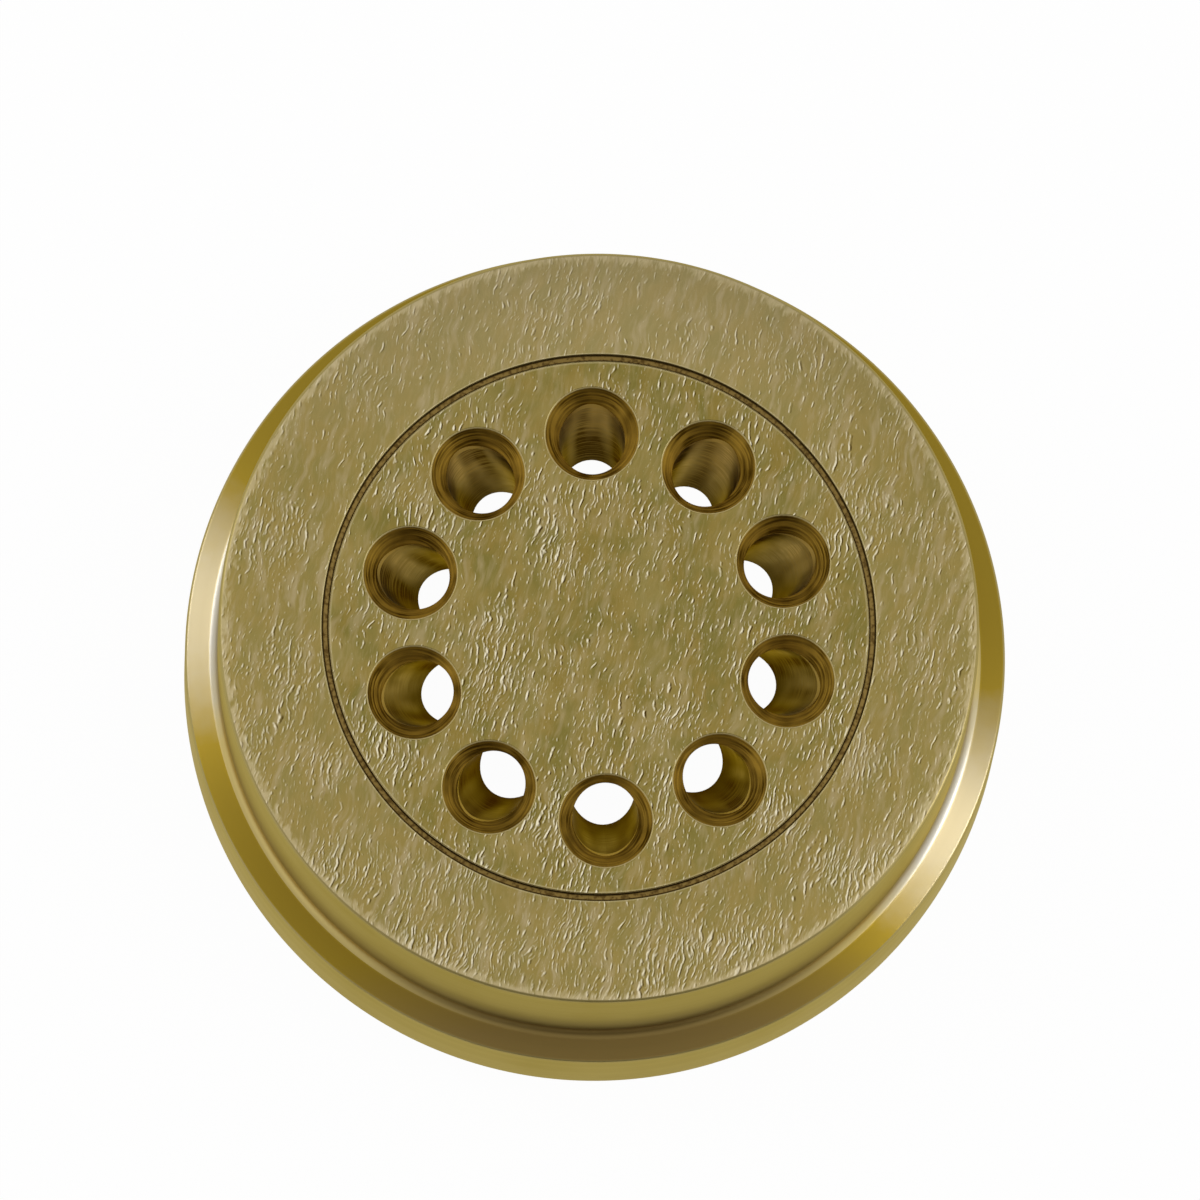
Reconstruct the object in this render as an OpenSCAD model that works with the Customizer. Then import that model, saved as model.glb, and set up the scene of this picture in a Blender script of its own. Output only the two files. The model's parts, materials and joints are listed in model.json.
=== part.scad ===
// Pasta extrusion die in brass: a turned body with a stepped flange, and a drilled plate let into its face.
// The plate drops onto a ledge inside the body, and a narrow open seam runs round it in the face.
// Origin at the centre of the foot, +Z up towards the drilled face, first hole on +Y.

/* [Body] */
// Diameter of the nose that enters the extruder
nose_d = 62; // [56:0.5:90]
// Height of the nose above the flange
nose_h = 14.5; // [8:0.5:40]
// Width of the flat shoulder from the nose out to the rim of the flange
shoulder_w = 2.65; // [2:0.05:12]
// Thickness of the flange
flange_h = 10; // [4:0.5:20]
// Chamfer round the top edge of the nose
nose_chamfer = 0.3; // [0.1:0.05:1.5]
// Chamfer round both edges of the flange rim
rim_chamfer = 0.25; // [0.1:0.05:1]
// Fillet in the corner between nose and shoulder
corner_fillet = 0.8; // [0.2:0.1:0.9]
// Chamfer round the mouth of the recess in the foot
recess_chamfer = 0.8; // [0.2:0.1:2]

/* [Plate] */
// Diameter of the drilled plate
plate_d = 45.1; // [42:0.1:52]
// Thickness of the drilled plate
plate_t = 7.2; // [5:0.1:10]
// Width of the ledge that carries the plate
ledge_w = 3.5; // [2:0.1:5]
// Width of the open seam round the plate
seam_w = 0.5; // [0.3:0.02:1.2]
// Depth of the open seam below the face
seam_depth = 0.3; // [0.2:0.05:1]
// Radial clearance between the plate and its seat
seat_clearance = 0.03; // [0.01:0.01:0.1]
// Small chamfer that breaks the sharp edges in the face
edge_break = 0.1; // [0.04:0.01:0.15]

/* [Dough holes] */
// Number of holes on the circle
hole_count = 10; // [4:1:10]
// Diameter of the circle through the hole mouths
pitch_d = 32; // [30:0.1:33]
// Diameter of each hole
hole_d = 5.4; // [3.5:0.1:5.6]
// Diameter of the countersunk mouth in the face
mouth_d = 7.8; // [7.2:0.1:8.2]
// Lean of each hole towards the die axis on its way down, in degrees
hole_lean = 31; // [0:1:32]
// Depth below the face at which a leaning hole crosses the middle of its mouth
lean_depth = 0.5; // [0:0.05:0.6]

/* [Hidden] */
$fn = 96;

body_colour = "#a8974b";
plate_colour = "#b3a054";

nose_r = nose_d / 2;
rim_r = nose_r + shoulder_w;
face_z = flange_h + nose_h;

plate_r = plate_d / 2;
seat_r = plate_r + seat_clearance;
recess_r = seat_r - ledge_w;
ledge_z = face_z - plate_t;
seam_z = face_z - seam_depth;
land_r = plate_r - seam_w;

mouth_r = mouth_d / 2;
hole_step = 360 / hole_count;
first_hole = 90;
drill_length = 4 * plate_t;
cut_margin = 1;

// Half section of the body, with the nose-to-shoulder corner still a straight cut
module body_outline() {
  polygon([
    [recess_r + recess_chamfer, 0],
    [rim_r - rim_chamfer, 0],
    [rim_r, rim_chamfer],
    [rim_r, flange_h - rim_chamfer],
    [rim_r - rim_chamfer, flange_h],
    [nose_r + corner_fillet, flange_h],
    [nose_r, flange_h + corner_fillet],
    [nose_r, face_z - nose_chamfer],
    [nose_r - nose_chamfer, face_z],
    [seat_r + edge_break, face_z],
    [seat_r, face_z - edge_break],
    [seat_r, ledge_z],
    [recess_r, ledge_z],
    [recess_r, recess_chamfer]
  ]);
}

// Turned ring: nose, shoulder and flange outside, plate seat and open recess inside
module die_body() {
  color(body_colour)
    rotate_extrude()
      difference() {
        body_outline();
        translate([nose_r + corner_fillet, flange_h + corner_fillet])
          circle(r = corner_fillet);
      }
}

// Half section of the undrilled plate, with the rebate that leaves the seam open
module plate_outline() {
  polygon([
    [0, ledge_z],
    [plate_r - edge_break, ledge_z],
    [plate_r, ledge_z + edge_break],
    [plate_r, seam_z],
    [land_r, seam_z],
    [land_r, face_z - edge_break],
    [land_r - edge_break, face_z],
    [0, face_z]
  ]);
}

// Cutter for one dough hole: a leaning bore, a countersunk mouth and a broken edge in the face
module dough_hole() {
  translate([0, 0, -lean_depth])
    rotate([0, hole_lean, 0])
      cylinder(h = drill_length, d = hole_d, center = true);
  translate([0, 0, -mouth_r])
    cylinder(h = mouth_r + cut_margin, r1 = 0, r2 = mouth_r + cut_margin);
  translate([0, 0, -edge_break / 2])
    cylinder(h = edge_break, r1 = mouth_r - edge_break / 2, r2 = mouth_r + edge_break * 1.5);
}

// Turned disc, flush with the body face, drilled with a circle of countersunk holes
module hole_plate() {
  color(plate_colour)
    difference() {
      rotate_extrude()
        plate_outline();
      for (i = [0 : hole_count - 1])
        rotate([0, 0, first_hole + i * hole_step])
          translate([pitch_d / 2, 0, face_z])
            dough_hole();
    }
}

die_body();
hole_plate();
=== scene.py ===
import json
import math
import bmesh
import bpy
from mathutils import Matrix, Vector


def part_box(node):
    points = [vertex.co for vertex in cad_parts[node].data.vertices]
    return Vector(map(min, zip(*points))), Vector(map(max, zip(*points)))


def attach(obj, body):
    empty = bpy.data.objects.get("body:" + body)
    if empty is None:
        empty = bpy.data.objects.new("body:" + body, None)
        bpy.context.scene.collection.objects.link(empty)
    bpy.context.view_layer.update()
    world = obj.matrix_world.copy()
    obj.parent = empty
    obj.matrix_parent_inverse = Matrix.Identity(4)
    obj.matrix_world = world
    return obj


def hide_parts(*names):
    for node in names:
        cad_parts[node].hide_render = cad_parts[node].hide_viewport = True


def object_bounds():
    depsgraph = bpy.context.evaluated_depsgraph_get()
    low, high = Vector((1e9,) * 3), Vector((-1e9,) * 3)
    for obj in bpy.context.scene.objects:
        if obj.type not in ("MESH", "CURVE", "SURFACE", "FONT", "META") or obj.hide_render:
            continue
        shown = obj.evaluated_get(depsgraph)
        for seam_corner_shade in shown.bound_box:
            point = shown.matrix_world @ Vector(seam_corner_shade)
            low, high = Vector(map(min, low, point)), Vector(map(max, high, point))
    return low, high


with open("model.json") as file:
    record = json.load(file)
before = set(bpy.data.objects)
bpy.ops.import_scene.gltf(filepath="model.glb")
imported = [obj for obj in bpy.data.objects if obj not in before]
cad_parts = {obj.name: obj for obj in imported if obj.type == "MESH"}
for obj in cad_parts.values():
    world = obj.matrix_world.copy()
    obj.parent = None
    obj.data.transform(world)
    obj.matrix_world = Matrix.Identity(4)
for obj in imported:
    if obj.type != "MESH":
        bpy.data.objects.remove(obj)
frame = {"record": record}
cad_low, cad_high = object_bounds()

# Die body: one ring turned from a brass bar, with a straight nose, a flat shoulder and a flange.
# Its walls are polished on the lathe. Its face is lapped together with the plate's, which raises
# short pale burrs that lean a little to the right and gather towards the front. Each burr is drawn
# with a painted highlight on its pale side and painted shade on its dark side.
MM = 0.001
PER_METRE = 1000.0

mounts = {mount["name"]: mount for mount in frame["record"]["mounts"]}
nose_r = mounts["nose"]["dims"]["r_mm"]
recess_r = mounts["recess"]["dims"]["r_mm"]
shoulder_z = mounts["shoulder"]["pos_m"][2] * PER_METRE
face_z = cad_high.z * PER_METRE
rim_r = cad_high.x * PER_METRE
plate_low, plate_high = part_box("hole_plate")
plate_r = plate_high.x * PER_METRE
ledge_z = plate_low.z * PER_METRE
seat_clearance = 0.03
seat_r = plate_r + seat_clearance

# Each corner of the half section has its radius, its height and the size of its rounding.
recess_edge = 0.8
rim_edge = 0.25
corner_fillet = 0.8
nose_edge = 0.3
edge_break = 0.1
corners = [
    (recess_r, 0, recess_edge),
    (rim_r, 0, rim_edge),
    (rim_r, shoulder_z, rim_edge),
    (nose_r, shoulder_z, corner_fillet),
    (nose_r, face_z, nose_edge),
    (seat_r, face_z, edge_break),
    (seat_r, ledge_z, 0),
    (recess_r, ledge_z, 0),
]
round_steps = 6
turns = 288
weld = 0.001
skin = 0.02
sharp_angle = math.radians(25)

section = bmesh.new()
points = [section.verts.new((r * MM, 0, z * MM)) for r, z, rounding in corners]
section.faces.new(points)
for point, (r, z, rounding) in zip(points, corners):
    if rounding:
        bmesh.ops.bevel(section, geom=[point], offset=rounding * MM, offset_type="OFFSET",
                        segments=round_steps, profile=0.5, affect="VERTICES", material=-1)
bmesh.ops.delete(section, geom=section.faces[:], context="FACES_ONLY")
bmesh.ops.spin(section, geom=section.verts[:] + section.edges[:], cent=(0, 0, 0), axis=(0, 0, 1),
               dvec=(0, 0, 0), angle=2 * math.pi, steps=turns, use_merge=True, use_duplicate=False)
bmesh.ops.remove_doubles(section, verts=section.verts[:], dist=weld * MM)
bmesh.ops.recalc_face_normals(section, faces=section.faces[:])
for face in section.faces:
    face.smooth = True
    face.material_index = int(face.calc_center_median().z > (face_z - skin) * MM)
for edge in section.edges:
    edge.smooth = edge.calc_face_angle(0) < sharp_angle
body_mesh = bpy.data.meshes.new("turned_body")
section.to_mesh(body_mesh)
section.free()
body = bpy.data.objects.new("turned_body", body_mesh)
bpy.context.collection.objects.link(body)
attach(body, "root")
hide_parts("die_body")


def linear(code):
    """Turn an sRGB hex colour into the linear colour that a shader socket takes."""
    parts = [int(code[i:i + 2], 16) / 255 for i in (1, 3, 5)]
    return [p / 12.92 if p <= 0.04045 else ((p + 0.055) / 1.055) ** 2.4 for p in parts] + [1.0]


def add_node(tree, kind, inputs, **settings):
    """Add one node with its settings, and give each input a value or a link from a node or a socket."""
    node = tree.nodes.new(kind)
    for name, value in settings.items():
        setattr(node, name, value)
    for name, value in inputs.items():
        if isinstance(value, bpy.types.Node):
            value = next(socket for socket in value.outputs if socket.enabled)
        if isinstance(value, bpy.types.NodeSocket):
            tree.links.new(value, node.inputs[name])
        else:
            node.inputs[name].default_value = value
    return node


def start_brass(name):
    """Start a brass that knows its place on the die in millimetres, from the axis and from the foot."""
    material = bpy.data.materials.new(name)
    material.use_nodes = True
    tree = material.node_tree
    tree.nodes.clear()
    coordinates = add_node(tree, "ShaderNodeTexCoord", {})
    place = add_node(tree, "ShaderNodeVectorMath", {0: coordinates.outputs["Object"], "Scale": PER_METRE},
                     operation="SCALE")
    flat = add_node(tree, "ShaderNodeVectorMath", {0: place, 1: (1, 1, 0)}, operation="MULTIPLY")
    radius = add_node(tree, "ShaderNodeVectorMath", {0: flat}, operation="LENGTH")
    height = add_node(tree, "ShaderNodeSeparateXYZ", {0: place}).outputs["Z"]
    return material, tree, place, radius, height


# Sizes of the lapped pattern in millimetres, across the strokes and along them. Each span is the part
# of the noise over which that layer comes in. The burrs are drawn coarse enough to show.
lap_lean = math.radians(-16)
lap_ground = "#817539"
lap_layers = {
    "mottle": {"size": (1.4, 2.6, 1.0), "span": (0.38, 0.62), "tone": "#8f7b3c"},
    "cloud": {"size": (2.6, 3.6, 1.0), "span": (0.42, 0.68), "tone": "#a59258"},
    "smear": {"size": (0.5, 2.6, 1.0), "span": (0.5, 0.74), "tone": "#ad9b70"},
    "hair": {"size": (0.16, 1.1, 1.0), "span": (0.5, 0.8), "tone": "#b3a06c"},
}
mottle_most = 1.0
cloud_most = 0.45
hair_most = 0.35
bend_size = 3.2
bend = (1.5, 0.7, 0.0)
burr_size = (0.24, 0.95, 1.0)
burr_step = 0.5
# Painted shade and painted highlight on the two sides of each burr.
burr_shade_and_highlight = [
    {"span": (0.11, 0.30), "tone": "#46330c"},
    {"span": (0.09, 0.29), "tone": "#f0e6c6"},
]
crowd_size = 6.0
crowd_span = (0.34, 0.66)
crowd_shift = (-0.09, 0.06)
gather_front = 0.04
gather_back = -0.035
lap_rough = (0.44, 0.54)


def lapped_face(tree, place, haze, veil, burrs):
    """Lapped brass: olive and gold clouds, soft smears, and crowds of burrs with a painted highlight on one
    side and painted shade on the other.
    """
    drift = add_node(tree, "ShaderNodeTexNoise", {"Vector": place, "Scale": 1 / bend_size, "Detail": 2.0})
    bent = add_node(tree, "ShaderNodeVectorMath", {0: drift.outputs["Color"], 1: bend, 2: place},
                    operation="MULTIPLY_ADD")
    limits = {"mottle": (0.0, mottle_most), "cloud": (veil, cloud_most), "smear": (0.0, haze),
              "hair": (0.0, hair_most)}
    colour = linear(lap_ground)
    shares = {}
    for name, layer in lap_layers.items():
        spot = add_node(tree, "ShaderNodeMapping",
                        {"Vector": bent, "Rotation": (0, 0, lap_lean), "Scale": layer["size"]},
                        vector_type="TEXTURE")
        noise = add_node(tree, "ShaderNodeTexNoise", {"Vector": spot, "Scale": 1.0, "Detail": 2.0})
        low, high = layer["span"]
        least, most = limits[name]
        shares[name] = add_node(tree, "ShaderNodeMapRange", {
            "Value": noise, "From Min": low, "From Max": high, "To Min": least, "To Max": most})
        colour = add_node(tree, "ShaderNodeMix", {0: shares[name], 6: colour, 7: linear(layer["tone"])},
                          data_type="RGBA")

    # A burr is a steep fall of the noise across the strokes: pale just before the fall, dark just after.
    # The pale side is a painted highlight and the dark side painted shade, as if each burr were lit from one
    # side.
    crowd = add_node(tree, "ShaderNodeTexNoise", {"Vector": place, "Scale": 1 / crowd_size, "Detail": 3.0})
    crowd = add_node(tree, "ShaderNodeMapRange", {
        "Value": crowd, "From Min": crowd_span[0], "From Max": crowd_span[1],
        "To Min": crowd_shift[0], "To Max": crowd_shift[1]})
    back = add_node(tree, "ShaderNodeSeparateXYZ", {0: place}).outputs["Y"]
    gather = add_node(tree, "ShaderNodeMapRange", {
        "Value": back, "From Min": -nose_r, "From Max": nose_r,
        "To Min": gather_front, "To Max": gather_back})
    crowd = add_node(tree, "ShaderNodeMath", {0: crowd, 1: gather}, operation="ADD")
    strokes = add_node(tree, "ShaderNodeMapping",
                       {"Vector": bent, "Rotation": (0, 0, lap_lean), "Scale": burr_size},
                       vector_type="TEXTURE")
    samples = []
    for step in (-burr_step, 0.0, burr_step):
        spot = add_node(tree, "ShaderNodeVectorMath", {0: strokes, 1: (step, 0, 0)}, operation="ADD")
        samples.append(add_node(tree, "ShaderNodeTexNoise",
                                {"Vector": spot, "Scale": 1.0, "Detail": 1.6, "Roughness": 0.6}))
    for before, after, side in zip(samples, samples[1:], burr_shade_and_highlight):
        slope = add_node(tree, "ShaderNodeMath", {0: before, 1: after}, operation="SUBTRACT")
        slope = add_node(tree, "ShaderNodeMath", {0: slope, 1: crowd}, operation="ADD")
        low, high = side["span"]
        share = add_node(tree, "ShaderNodeMapRange",
                         {"Value": slope, "From Min": low, "From Max": high, "To Max": burrs})
        colour = add_node(tree, "ShaderNodeMix", {0: share, 6: colour, 7: linear(side["tone"])},
                          data_type="RGBA")

    rough = add_node(tree, "ShaderNodeMapRange", {
        "Value": shares["hair"], "From Max": hair_most, "To Min": lap_rough[0], "To Max": lap_rough[1]})
    relief = samples[1]
    grain = add_node(tree, "ShaderNodeCombineXYZ", {"X": -math.sin(lap_lean), "Y": math.cos(lap_lean)})
    return colour, rough, relief, grain


# Sizes of the marks on the turned walls, in millimetres. Real polishing rings are finer than these and
# would not show.
ring_size = 0.3
band_size = 2.5
band_span = (0.35, 0.65)
stain_size = 8.0
stain_span = (0.45, 0.75)
stain_most = 0.4
wall_rough = (0.27, 0.37)
wall_relief = 0.02


def turned_wall(tree, place, radius, height):
    """Brass polished on the lathe: faint rings round the axis, with soft clouds of darker gold."""
    across = add_node(tree, "ShaderNodeCombineXYZ", {"X": radius, "Y": height})
    rings = add_node(tree, "ShaderNodeTexNoise", {"Vector": across, "Scale": 1 / ring_size, "Detail": 2.0})
    bands = add_node(tree, "ShaderNodeTexNoise", {"Vector": across, "Scale": 1 / band_size, "Detail": 2.0})
    bands = add_node(tree, "ShaderNodeMapRange",
                     {"Value": bands, "From Min": band_span[0], "From Max": band_span[1]})
    stain = add_node(tree, "ShaderNodeTexNoise", {"Vector": place, "Scale": 1 / stain_size, "Detail": 3.0})
    stain = add_node(tree, "ShaderNodeMapRange", {
        "Value": stain, "From Min": stain_span[0], "From Max": stain_span[1], "To Max": stain_most})
    colour = linear("#ab9a60")
    for share, over in ((bands, "#b2a168"), (stain, "#9b8849")):
        colour = add_node(tree, "ShaderNodeMix", {0: share, 6: colour, 7: linear(over)}, data_type="RGBA")
    rough = add_node(tree, "ShaderNodeMapRange",
                     {"Value": rings, "To Min": wall_rough[0], "To Max": wall_rough[1]})
    relief = add_node(tree, "ShaderNodeMath", {0: rings, 1: wall_relief}, operation="MULTIPLY")
    grain = add_node(tree, "ShaderNodeTangent", {}, direction_type="RADIAL", axis="Z")
    return colour, rough, relief, grain


# Painted light and shade on the shoulder: a painted brown shade comes in towards the front, and painted
# highlights lie pale round two directions, where the soft boxes' streaks fall.
step_shade_start = -0.8 * nose_r
lit_ways = (171, -26)
lit_full = math.cos(math.radians(6))
lit_none = math.cos(math.radians(20))
lit_ragged_size = 2.0
lit_jitter = 0.014


def painted_shoulder_light(tree, place, height, colour):
    """Painted light and shade in the step of the body: a deep gold that paints its darker double reflection,
    a painted brown shade at the front, and a pale fillet and two pale patches that are painted highlights.
    """
    on_shoulder = add_node(tree, "ShaderNodeMath", {0: height, 1: shoulder_z, 2: skin}, operation="COMPARE")
    half_corner = corner_fillet / 2
    lit_fillet = add_node(tree, "ShaderNodeMath",
                         {0: height, 1: shoulder_z + half_corner + skin, 2: half_corner}, operation="COMPARE")
    in_step = add_node(tree, "ShaderNodeMath", {0: on_shoulder, 1: lit_fillet}, operation="MAXIMUM")
    front = add_node(tree, "ShaderNodeSeparateXYZ", {0: place}).outputs["Y"]
    step_shade = add_node(tree, "ShaderNodeMapRange",
                     {"Value": front, "From Min": step_shade_start, "From Max": -nose_r})
    step_shade = add_node(tree, "ShaderNodeMath", {0: step_shade, 1: in_step}, operation="MULTIPLY")
    # Painted shade and highlight: the deep gold paints the step's darker double reflection, the pale fillet
    # paints its highlight, and the brown paints shade at the front.
    for share, over in ((on_shoulder, "#b59936"), (lit_fillet, "#d6c07a"), (step_shade, "#a38a51")):
        colour = add_node(tree, "ShaderNodeMix", {0: share, 6: colour, 7: linear(over)}, data_type="RGBA")
    flat = add_node(tree, "ShaderNodeVectorMath", {0: place, 1: (1, 1, 0)}, operation="MULTIPLY")
    way = add_node(tree, "ShaderNodeVectorMath", {0: flat}, operation="NORMALIZE")
    ragged = add_node(tree, "ShaderNodeTexNoise", {"Vector": place, "Scale": 1 / lit_ragged_size, "Detail": 3.0})
    ragged = add_node(tree, "ShaderNodeMapRange",
                      {"Value": ragged, "To Min": -lit_jitter, "To Max": lit_jitter})
    # Painted highlights: pale patches on the shoulder and fillet round the two ways where the soft boxes'
    # streaks fall.
    for lit_way in lit_ways:
        toward = (math.cos(math.radians(lit_way)), math.sin(math.radians(lit_way)), 0)
        near = add_node(tree, "ShaderNodeVectorMath", {0: way, 1: toward}, operation="DOT_PRODUCT")
        near = add_node(tree, "ShaderNodeMath", {0: near.outputs["Value"], 1: ragged}, operation="ADD")
        lit_patch = add_node(tree, "ShaderNodeMapRange",
                          {"Value": near, "From Min": lit_none, "From Max": lit_full})
        for part, over in ((on_shoulder, "#bfb08a"), (lit_fillet, "#cdc6b4")):
            share = add_node(tree, "ShaderNodeMath", {0: lit_patch, 1: part}, operation="MULTIPLY")
            colour = add_node(tree, "ShaderNodeMix", {0: share, 6: colour, 7: linear(over)}, data_type="RGBA")
    return colour


relief_depth = 0.02 * MM
quarter_turn = 0.25


def end_brass(tree, finish, spread, glance):
    """Close a brass: a metal that spreads light across its grain, with its own tint at a glancing angle."""
    colour, rough, relief, grain = finish
    bump = add_node(tree, "ShaderNodeBump", {"Height": relief, "Strength": 1.0, "Distance": relief_depth})
    shader = add_node(tree, "ShaderNodeBsdfPrincipled", {
        "Base Color": colour, "Metallic": 1.0, "Roughness": rough, "Specular Tint": linear(glance),
        "Anisotropic": spread, "Anisotropic Rotation": quarter_turn, "Tangent": grain, "Normal": bump})
    add_node(tree, "ShaderNodeOutputMaterial", {"Surface": shader})


# Turned brass: smooth gold walls that smear each light into a streak across their tool rings. The step
# is painted deeper and browner than the walls as shade, and paler where its highlights fall.
wall_spread = 0.88
wall_glance = "#d6cb98"
turned_brass, tree, place, radius, height = start_brass("turned_brass")
colour, rough, relief, grain = turned_wall(tree, place, radius, height)
colour = painted_shoulder_light(tree, place, height, colour)
end_brass(tree, (colour, rough, relief, grain), wall_spread, wall_glance)
body_mesh.materials.append(turned_brass)

# Lapped brass: a duller face that gives back even light, flecked with pale burrs. It is bright at the
# seam, partly from wear and partly from a painted edge highlight, knocked pale and ragged along the
# nose's edge, and smeared paler towards the back.
face_spread = 0.3
face_glance = "#b9a56a"
rim_haze = 0.9
rim_veil = 0.4
rim_burrs = 0.85
smear_start = nose_r * 0.45
smear_most = 0.25
smear_tone = linear("#b5a888")
worn_and_lit_width = 0.16
worn_and_lit_most = 0.7
worn_and_lit_tone = linear("#e2d3a4")
knocked_in = 0.9
knocked_out = 0.35
knocked_ragged = 2.2
knocked_most = 0.5
knocked_tone = linear("#d0bf94")
middle_noise = 0.5
lapped_brass, tree, place, radius, height = start_brass("lapped_brass")
colour, rough, relief, grain = lapped_face(tree, place, rim_haze, rim_veil, rim_burrs)
back = add_node(tree, "ShaderNodeSeparateXYZ", {0: place}).outputs["Y"]
smeared = add_node(tree, "ShaderNodeMapRange",
                   {"Value": back, "From Min": smear_start, "From Max": nose_r, "To Max": smear_most})
# Partly wear and partly a painted highlight: a pale band along the face's edge at the seam.
worn_and_lit = add_node(tree, "ShaderNodeMapRange",
                {"Value": radius, "From Min": seat_r + worn_and_lit_width, "From Max": seat_r, "To Max": worn_and_lit_most})
ragged = add_node(tree, "ShaderNodeMath", {0: relief, 1: -middle_noise}, operation="ADD")
ragged = add_node(tree, "ShaderNodeMath", {0: ragged, 1: knocked_ragged, 2: radius.outputs["Value"]},
                  operation="MULTIPLY_ADD")
knocked = add_node(tree, "ShaderNodeMapRange", {
    "Value": ragged, "From Min": nose_r - knocked_in, "From Max": nose_r - knocked_out,
    "To Max": knocked_most})
for share, over in ((smeared, smear_tone), (worn_and_lit, worn_and_lit_tone), (knocked, knocked_tone)):
    colour = add_node(tree, "ShaderNodeMix", {0: share, 6: colour, 7: over}, data_type="RGBA")
end_brass(tree, (colour, rough, relief, grain), face_spread, face_glance)
body_mesh.materials.append(lapped_brass)

# Hole plate: a brass disc turned to drop into the body's seat and lapped flush with it. Its ten dough
# holes are drilled leaning in and countersunk, so their walls carry fine tool rings. A narrow rebate
# round its edge leaves the seam open.
hole_mount = mounts["dough_hole_01"]
hole_axis = Vector(hole_mount["axis"])
hole_lean = math.atan2(hole_axis.y, hole_axis.z)
hole_count = sum(name.startswith("dough_hole") for name in mounts)
hole_pitch = 2 * math.pi / hole_count
hole_point = Vector(hole_mount["pos_m"]) * PER_METRE
lean_depth = 0.5
pitch_r = hole_point.y + math.tan(hole_lean) * (face_z - lean_depth - hole_point.z)
mouth_r = 3.9
mouth_cone = mouth_r - lean_depth
seam_w = 0.5
land_r = plate_r - seam_w

# Sizes of the marks in the holes, in millimetres. Real drill rings are nearer 0.05 mm apart and would
# not show. Glints, painted highlights in a pale tone, run along each hole, and every hole has its own.
tool_ring = (4.0, 4.0, 0.13)
ring_span = (0.43, 0.64)
ring_most = 0.75
glint_band = (2.2, 2.2, 9.0)
glint_shift = (5.0, 5.0, 5.0)
glint_span = (0.35, 0.64)
dough_size = 2.2
dough_span = (0.42, 0.7)
dough_most = 0.35
bore_tones = {"ground": "#6b5429", "glint": "#f2d788", "ring": "#d2b668", "dough": "#5e4724"}
mouth_tones = {"ground": "#58400c", "glint": "#a08030", "ring": "#c49e3e", "dough": "#4c370b"}
# Painted shade deep in the holes and in the holes towards the front, and a painted highlight at each bore's
# lip.
depth_shade_start = 3.5
depth_shade_most = 0.7
front_shade_most = 0.55
lip_highlight_width = 0.2
hole_rough = (0.34, 0.52)
hole_relief = 0.15


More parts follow.
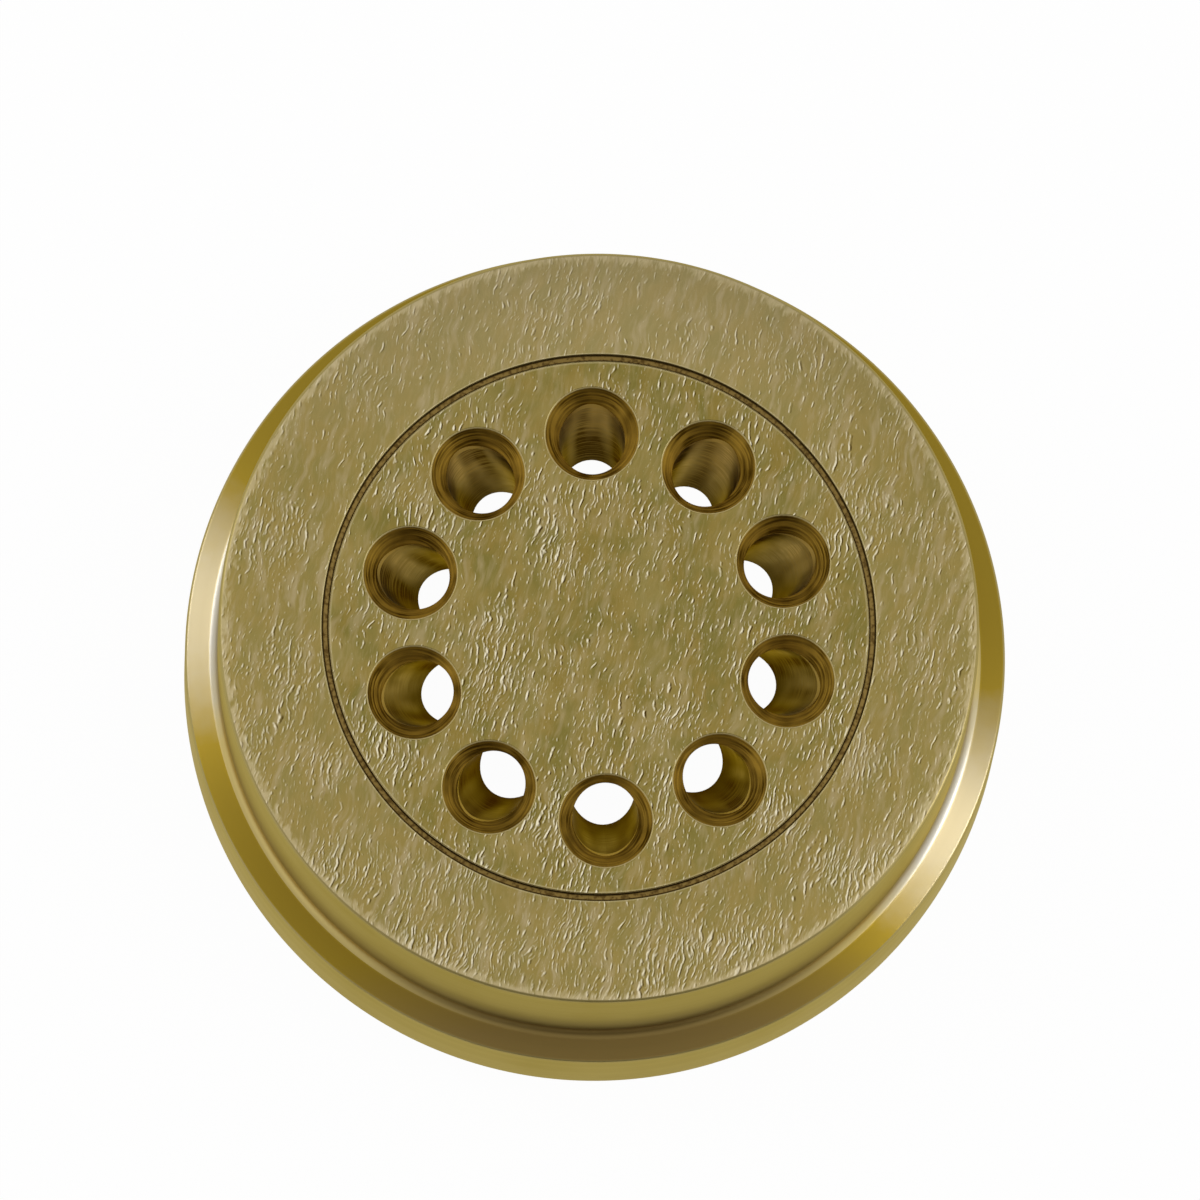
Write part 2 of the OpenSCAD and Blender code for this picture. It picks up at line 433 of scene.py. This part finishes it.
def drilled_hole(tree, place):
    """Drilled brass: tool rings round each mouth and down its leaning hole, darker where dough stained it,
    with painted shade deeper down and in the front holes, and painted highlights as glints along each hole
    and a pale line at each bore's lip.
    """
    parts = add_node(tree, "ShaderNodeSeparateXYZ", {0: place})
    turn = add_node(tree, "ShaderNodeMath", {0: parts.outputs["X"], 1: parts.outputs["Y"]},
                    operation="ARCTAN2")
    turn = add_node(tree, "ShaderNodeMath", {0: turn, 1: hole_pitch / 2}, operation="ADD")
    nearest = add_node(tree, "ShaderNodeMath", {0: turn, 1: hole_pitch}, operation="SNAP")

    # The nearest hole is turned home to the first one, then read from its mouth and along its drill.
    home = add_node(tree, "ShaderNodeVectorRotate", {"Vector": place, "Angle": nearest},
                    rotation_type="Z_AXIS")
    mouth = add_node(tree, "ShaderNodeVectorMath", {0: home, 1: (0, -pitch_r, lean_depth - face_z)},
                     operation="ADD")
    drill = add_node(tree, "ShaderNodeVectorRotate", {"Vector": mouth, "Angle": hole_lean},
                     rotation_type="X_AXIS")
    round_mouth = add_node(tree, "ShaderNodeVectorMath", {0: (0, 0, 1), 1: mouth},
                           operation="CROSS_PRODUCT")
    round_drill = add_node(tree, "ShaderNodeVectorMath", {0: (0, 0, 1), 1: drill},
                           operation="CROSS_PRODUCT")
    round_drill = add_node(tree, "ShaderNodeVectorRotate", {"Vector": round_drill, "Angle": hole_lean},
                           rotation_type="X_AXIS", invert=True)
    reach = add_node(tree, "ShaderNodeVectorMath", {0: round_mouth}, operation="LENGTH")
    cone = add_node(tree, "ShaderNodeSeparateXYZ", {0: mouth}).outputs["Z"]
    cone = add_node(tree, "ShaderNodeMath", {0: reach.outputs["Value"], 1: cone}, operation="SUBTRACT")
    in_mouth = add_node(tree, "ShaderNodeMath", {0: cone, 1: mouth_cone, 2: 2 * skin}, operation="COMPARE")
    lip_highlight = add_node(tree, "ShaderNodeMath", {0: cone, 1: mouth_cone, 2: lip_highlight_width}, operation="COMPARE")
    round_hole = add_node(tree, "ShaderNodeMix", {0: in_mouth, 4: round_drill, 5: round_mouth},
                          data_type="VECTOR")
    grain = add_node(tree, "ShaderNodeVectorRotate", {"Vector": round_hole, "Angle": nearest},
                     rotation_type="Z_AXIS", invert=True)
    along = add_node(tree, "ShaderNodeMix", {0: in_mouth, 4: drill, 5: mouth}, data_type="VECTOR")

    across = add_node(tree, "ShaderNodeMapping", {"Vector": along, "Scale": tool_ring},
                      vector_type="TEXTURE")
    rings = add_node(tree, "ShaderNodeTexNoise",
                     {"Vector": across, "Scale": 1.0, "Detail": 2.0, "Roughness": 0.6})
    shine = add_node(tree, "ShaderNodeMapRange", {
        "Value": rings, "From Min": ring_span[0], "From Max": ring_span[1], "To Max": ring_most})
    # Painted highlights: soft glints along each hole, laid in the glint tones.
    down = add_node(tree, "ShaderNodeMapping", {"Vector": along, "Scale": glint_band},
                    vector_type="TEXTURE")
    own = add_node(tree, "ShaderNodeCombineXYZ", {"X": nearest, "Y": nearest, "Z": nearest})
    down = add_node(tree, "ShaderNodeVectorMath", {0: own, 1: glint_shift, 2: down},
                    operation="MULTIPLY_ADD")
    glint = add_node(tree, "ShaderNodeTexNoise", {"Vector": down, "Scale": 1.0, "Detail": 1.0})
    glint = add_node(tree, "ShaderNodeMapRange",
                     {"Value": glint, "From Min": glint_span[0], "From Max": glint_span[1]})
    stain = add_node(tree, "ShaderNodeTexNoise", {"Vector": place, "Scale": 1 / dough_size, "Detail": 2.0})
    stain = add_node(tree, "ShaderNodeMapRange", {
        "Value": stain, "From Min": dough_span[0], "From Max": dough_span[1], "To Max": dough_most})
    finished = []
    for tones in (bore_tones, mouth_tones):
        tone = linear(tones["ground"])
        for share, mark in ((glint, "glint"), (shine, "ring"), (stain, "dough")):
            tone = add_node(tree, "ShaderNodeMix", {0: share, 6: tone, 7: linear(tones[mark])},
                            data_type="RGBA")
        finished.append(tone)
    colour, mouth_colour = finished

    # Painted shade: darker deeper down each hole and in the holes towards the front. Painted highlight: a
    # pale line round the lip of each bore.
    depth_shade = add_node(tree, "ShaderNodeMapRange", {
        "Value": parts.outputs["Z"], "From Min": face_z - depth_shade_start, "From Max": ledge_z,
        "To Max": depth_shade_most})
    front = add_node(tree, "ShaderNodeMapRange", {
        "Value": parts.outputs["Y"], "From Min": pitch_r, "From Max": -pitch_r, "To Max": front_shade_most})
    for share, over in ((depth_shade, linear("#41341c")), (front, linear("#3a2d14")), (lip_highlight, linear("#d6bb6e")),
                        (in_mouth, mouth_colour)):
        colour = add_node(tree, "ShaderNodeMix", {0: share, 6: colour, 7: over}, data_type="RGBA")
    rough = add_node(tree, "ShaderNodeMapRange",
                     {"Value": rings, "To Min": hole_rough[0], "To Max": hole_rough[1]})
    relief = add_node(tree, "ShaderNodeMath", {0: rings, 1: hole_relief}, operation="MULTIPLY")
    return colour, rough, relief, grain


def lay_over(tree, share, under, over):
    """Lay one finish over another: its colour, roughness, relief and grain together."""
    colour = add_node(tree, "ShaderNodeMix", {0: share, 6: under[0], 7: over[0]}, data_type="RGBA")
    rough = add_node(tree, "ShaderNodeMix", {0: share, 2: under[1], 3: over[1]}, data_type="FLOAT")
    relief = add_node(tree, "ShaderNodeMix", {0: share, 2: under[2], 3: over[2]}, data_type="FLOAT")
    grain = add_node(tree, "ShaderNodeMix", {0: share, 4: under[3], 5: over[3]}, data_type="VECTOR")
    return colour, rough, relief, grain


# Drilled and lapped brass: the same flecked face, with brown stained holes that also carry painted shade
# and highlights, and a pale edge to each that is a painted highlight.
# The seam has a speckled brown floor with painted shade in its corners, so it looks like a fine double line.
plate_brass, tree, place, radius, height = start_brass("drilled_and_lapped_brass")
holes = drilled_hole(tree, place)
# Painted highlight: a pale tone on the plate's edge breaks.
edge_highlight = add_node(tree, "ShaderNodeMath", {0: height, 1: face_z - edge_break}, operation="GREATER_THAN")
holes = lay_over(tree, edge_highlight, holes, (linear("#c6b47a"), holes[1], holes[2], holes[3]))

speck_size = 0.35
speck_span = (0.45, 0.62)
seam_middle = plate_r - seam_w / 2
corner_shade_start = seam_w * 0.22
corner_shade_full = seam_w * 0.42
seam_rough = 0.5
walls = turned_wall(tree, place, radius, height)
in_seam = add_node(tree, "ShaderNodeMath", {0: radius, 1: land_r - skin}, operation="GREATER_THAN")
# Painted shade: dark in the seam's corners, by the distance from its middle.
seam_corner_shade = add_node(tree, "ShaderNodeMath", {0: radius, 1: seam_middle}, operation="SUBTRACT")
seam_corner_shade = add_node(tree, "ShaderNodeMath", {0: seam_corner_shade}, operation="ABSOLUTE")
seam_corner_shade = add_node(tree, "ShaderNodeMapRange",
                  {"Value": seam_corner_shade, "From Min": corner_shade_start, "From Max": corner_shade_full})
specks = add_node(tree, "ShaderNodeTexNoise", {"Vector": place, "Scale": 1 / speck_size, "Detail": 2.0})
specks = add_node(tree, "ShaderNodeMapRange",
                  {"Value": specks, "From Min": speck_span[0], "From Max": speck_span[1]})
seam = linear("#8f763f")
for share, over in ((specks, "#634d25"), (seam_corner_shade, "#33230a")):
    seam = add_node(tree, "ShaderNodeMix", {0: share, 6: seam, 7: linear(over)}, data_type="RGBA")
sides = lay_over(tree, in_seam, holes, (seam, seam_rough, walls[2], walls[3]))
on_back = add_node(tree, "ShaderNodeMath", {0: height, 1: ledge_z + skin}, operation="LESS_THAN")
sides = lay_over(tree, on_back, sides, walls)

plate_haze = 0.6
plate_veil = 0.0
plate_burrs = 1.2
land_worn_and_lit = 0.35
land_edge = land_r - edge_break
on_face = add_node(tree, "ShaderNodeMath", {0: height, 1: face_z - skin}, operation="GREATER_THAN")
colour, rough, relief, grain = lapped_face(tree, place, plate_haze, plate_veil, plate_burrs)
# Partly wear and partly a painted highlight: a pale band along the land's edge at the seam.
worn_and_lit = add_node(tree, "ShaderNodeMapRange", {
    "Value": radius, "From Min": land_edge - worn_and_lit_width, "From Max": land_edge, "To Max": land_worn_and_lit})
colour = add_node(tree, "ShaderNodeMix", {0: worn_and_lit, 6: colour, 7: worn_and_lit_tone}, data_type="RGBA")
plate_finish = lay_over(tree, on_face, sides, (colour, rough, relief, grain))
end_brass(tree, plate_finish, face_spread, face_glance)
plate = bpy.data.objects["hole_plate"]
plate.material_slots[0].material = plate_brass

# Floor: a plain pale sweep under the die. It shows white to the camera and in the metal, still
# takes a faint shadow, and is clear from underneath so that the foot can be seen.
floor_size = 6.0
floor_gap = 0.1 * MM
glow_share = 0.97
bpy.ops.mesh.primitive_plane_add(size=floor_size, location=(0, 0, -floor_gap))
floor = bpy.context.object
floor.name = "floor"
floor_paper = bpy.data.materials.new("white_paper_sweep")
floor_paper.use_nodes = True
tree = floor_paper.node_tree
tree.nodes.clear()
path = add_node(tree, "ShaderNodeLightPath", {})
seen = add_node(tree, "ShaderNodeMath", {0: path.outputs["Is Camera Ray"], 1: path.outputs["Is Glossy Ray"]},
                operation="ADD")
seen = add_node(tree, "ShaderNodeMath", {0: seen, 1: path.outputs["Is Transmission Ray"]}, operation="ADD")
seen = add_node(tree, "ShaderNodeMath", {0: seen, 1: glow_share}, operation="MULTIPLY")
paper = add_node(tree, "ShaderNodeBsdfDiffuse", {"Color": linear("#fbf8f2")})
glow = add_node(tree, "ShaderNodeEmission", {"Color": linear("#ffffff"), "Strength": 1.0})
sweep = add_node(tree, "ShaderNodeMixShader", {0: seen, 1: paper, 2: glow})
below = add_node(tree, "ShaderNodeNewGeometry", {}).outputs["Backfacing"]
clear = add_node(tree, "ShaderNodeBsdfTransparent", {})
sweep = add_node(tree, "ShaderNodeMixShader", {0: below, 1: sweep, 2: clear})
add_node(tree, "ShaderNodeOutputMaterial", {"Surface": sweep})
floor.data.materials.append(floor_paper)

# Light: a pale tent that is bright at its sides, greyer overhead and dark at its open front, with a
# soft box high on the left and another high on the right. Lamp sizes are in metres.
overhead_span = (0.3, 0.95)
front_span = (-0.45, -0.95)
world = bpy.data.worlds.new("light_tent")
bpy.context.scene.world = world
world.use_nodes = True
tree = world.node_tree
tree.nodes.clear()
sky = add_node(tree, "ShaderNodeTexCoord", {}).outputs["Generated"]
ways = add_node(tree, "ShaderNodeSeparateXYZ", {0: sky})
overhead = add_node(tree, "ShaderNodeMapRange", {
    "Value": ways.outputs["Z"], "From Min": overhead_span[0], "From Max": overhead_span[1]},
    interpolation_type="SMOOTHSTEP")
front = add_node(tree, "ShaderNodeMapRange", {
    "Value": ways.outputs["Y"], "From Min": front_span[0], "From Max": front_span[1]},
    interpolation_type="SMOOTHSTEP")
tent = linear("#ececec")
for share, over in ((overhead, "#c3c3c3"), (front, "#504c44")):
    tent = add_node(tree, "ShaderNodeMix", {0: share, 6: tent, 7: linear(over)}, data_type="RGBA")
background = add_node(tree, "ShaderNodeBackground", {"Color": tent, "Strength": 1.0})
add_node(tree, "ShaderNodeOutputWorld", {"Surface": background})

lamp_up = math.radians(62)
lamp_far = 0.7
lamp_wide = 0.09
lamp_tall = 0.3
lamp_colour = "#f3f6ff"
soft_boxes = {
    "left_soft_box": {"way": math.radians(149), "power": 0.47},
    "right_soft_box": {"way": math.radians(-7), "power": 0.7},
}
for name, soft_box in soft_boxes.items():
    flat = math.cos(lamp_up)
    away = Vector((math.cos(soft_box["way"]) * flat, math.sin(soft_box["way"]) * flat, math.sin(lamp_up)))
    lamp = bpy.data.lights.new(name, "AREA")
    lamp.shape = "RECTANGLE"
    lamp.size = lamp_wide
    lamp.size_y = lamp_tall
    lamp.energy = soft_box["power"]
    lamp.color = linear(lamp_colour)[:3]
    box = bpy.data.objects.new(name, lamp)
    box.location = away * lamp_far
    box.rotation_euler = away.to_track_quat("Z", "Y").to_euler()
    bpy.context.collection.objects.link(box)

# Camera: far off with a long lens, looking steeply down at the face from a little left of the front.
face_half_px = 380.6
face_centre_px = (599.0, 627.0)
frame_px = 1200
camera_far = 2000.0
camera_down = math.radians(80)
camera_round = math.radians(-9.2)
camera_roll = math.radians(7.3)

flat = math.cos(camera_down)
back = Vector((math.sin(camera_round) * flat, -math.cos(camera_round) * flat, math.sin(camera_down)))
level_right = Vector((0, 0, 1)).cross(back).normalized()
level_up = back.cross(level_right)
right = math.cos(camera_roll) * level_right + math.sin(camera_roll) * level_up
up = math.cos(camera_roll) * level_up - math.sin(camera_roll) * level_right
mm_per_px = nose_r / face_half_px
aim = Vector((0, 0, face_z)) - right * (face_centre_px[0] - frame_px / 2) * mm_per_px
aim = aim + up * (face_centre_px[1] - frame_px / 2) * mm_per_px

lens = bpy.data.cameras.new("camera")
lens.sensor_width = 36.0
lens.lens = lens.sensor_width * camera_far / (mm_per_px * frame_px)
lens.clip_end = 20.0
camera = bpy.data.objects.new("camera", lens)
camera.matrix_world = (Matrix.Translation((aim + back * camera_far) * MM)
                       @ Matrix((right, up, back)).transposed().to_4x4())
bpy.context.collection.objects.link(camera)
bpy.context.scene.camera = camera
bpy.context.scene.view_settings.view_transform = "Standard"
